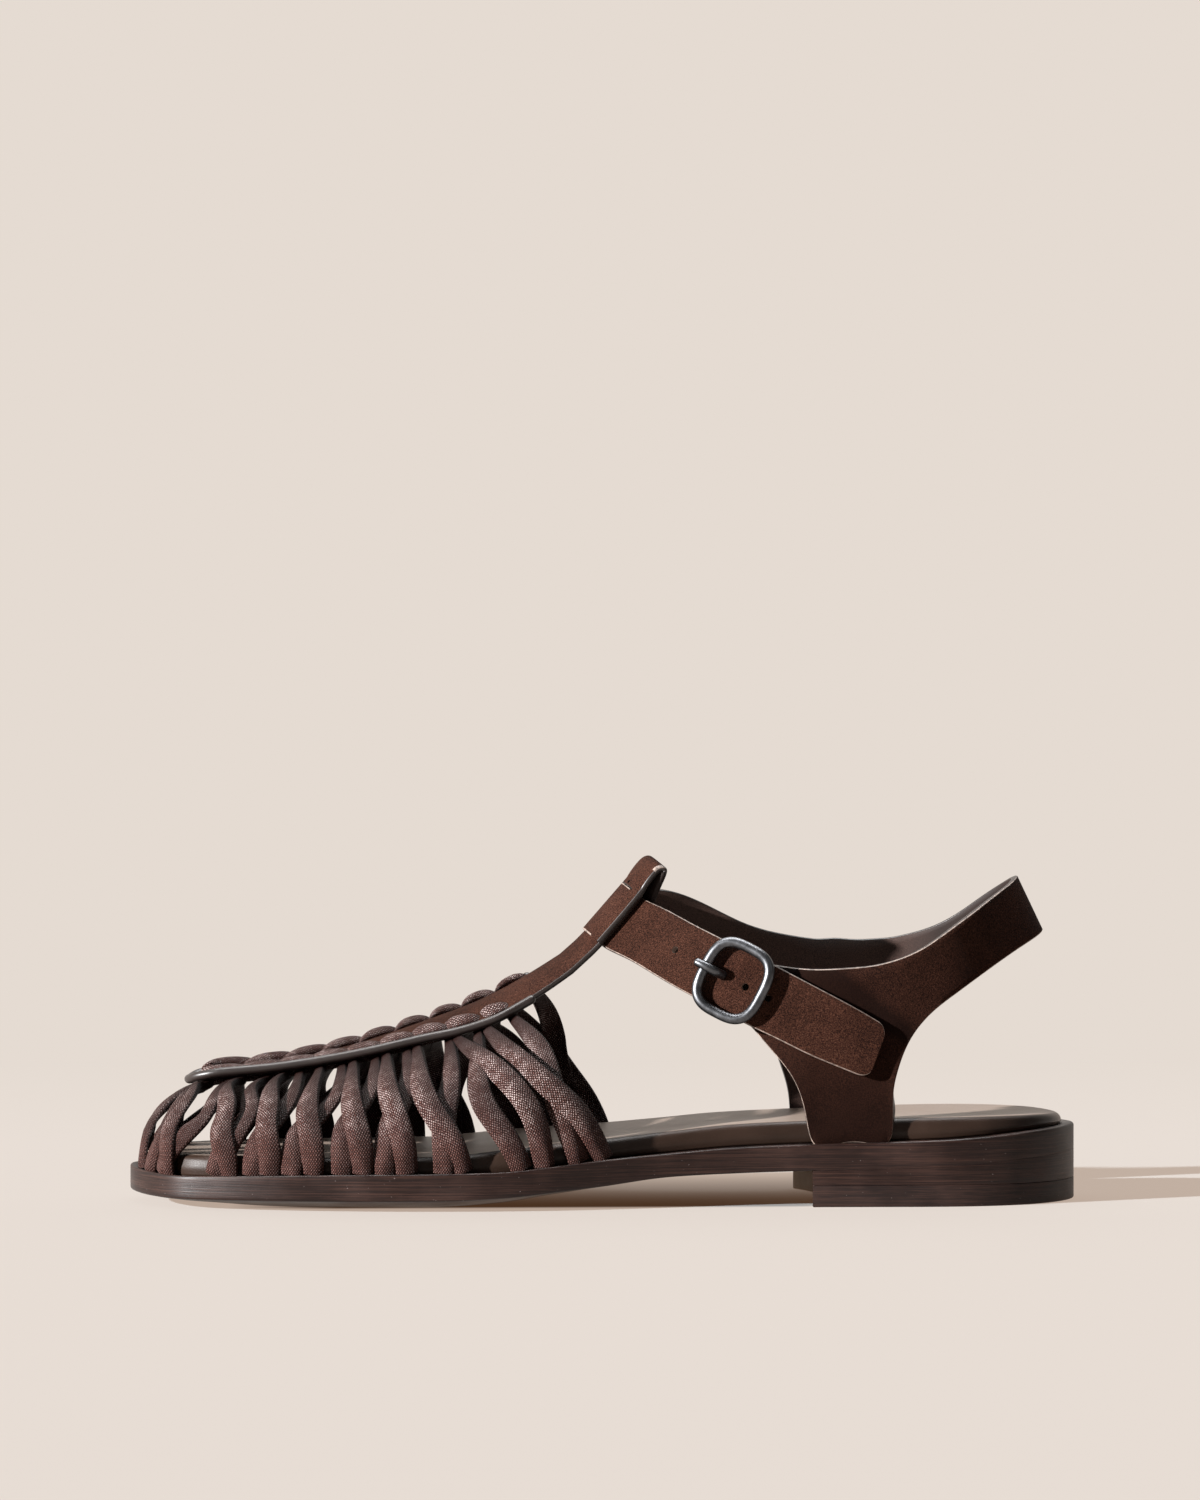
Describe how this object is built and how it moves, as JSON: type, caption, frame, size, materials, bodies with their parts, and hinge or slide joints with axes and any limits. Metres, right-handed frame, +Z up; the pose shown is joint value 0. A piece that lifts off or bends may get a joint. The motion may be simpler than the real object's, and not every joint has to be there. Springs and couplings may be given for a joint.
{
  "type": "t-strap fisherman sandal",
  "caption": "Flat t-strap fisherman sandal for the left foot, with a woven lace vamp under a long apron, a buckled ankle strap, a sling back and a low stacked heel.",
  "frame": {"origin": "middle of the bounding box on the floor, under the sole", "axes": "+X from the toe to the heel, +Y from the lateral (buckle) side to the medial side, +Z up"},
  "size_m": [0.2618, 0.087, 0.095],
  "materials": {
    "suede": "dark brown suede with a short, slightly lighter nap",
    "lace": "flat waxed woven cotton lace, brown",
    "edge_leather": "near-black rolled leather piping with a soft sheen",
    "footbed_leather": "dark brown smooth lining leather with fine grain and a satin sheen",
    "sole_leather": "stacked leather with a dark waxed edge",
    "top_piece_rubber": "matte dark brown rubber",
    "gunmetal": "polished gunmetal plating"
  },
  "bodies": {
    "root": {"outsole": "sole_leather", "heel_stack": "sole_leather", "heel_top_piece": "top_piece_rubber", "footbed": "footbed_leather", "t_strap": "suede", "apron_piping": "edge_leather", "lace_lateral": "lace", "lace_medial": "lace", "lace_loops_lateral": "lace", "lace_loops_medial": "lace", "quarter": "suede", "buckle_frame": "gunmetal", "buckle_prong": "gunmetal"}
  },
  "joints": []
}
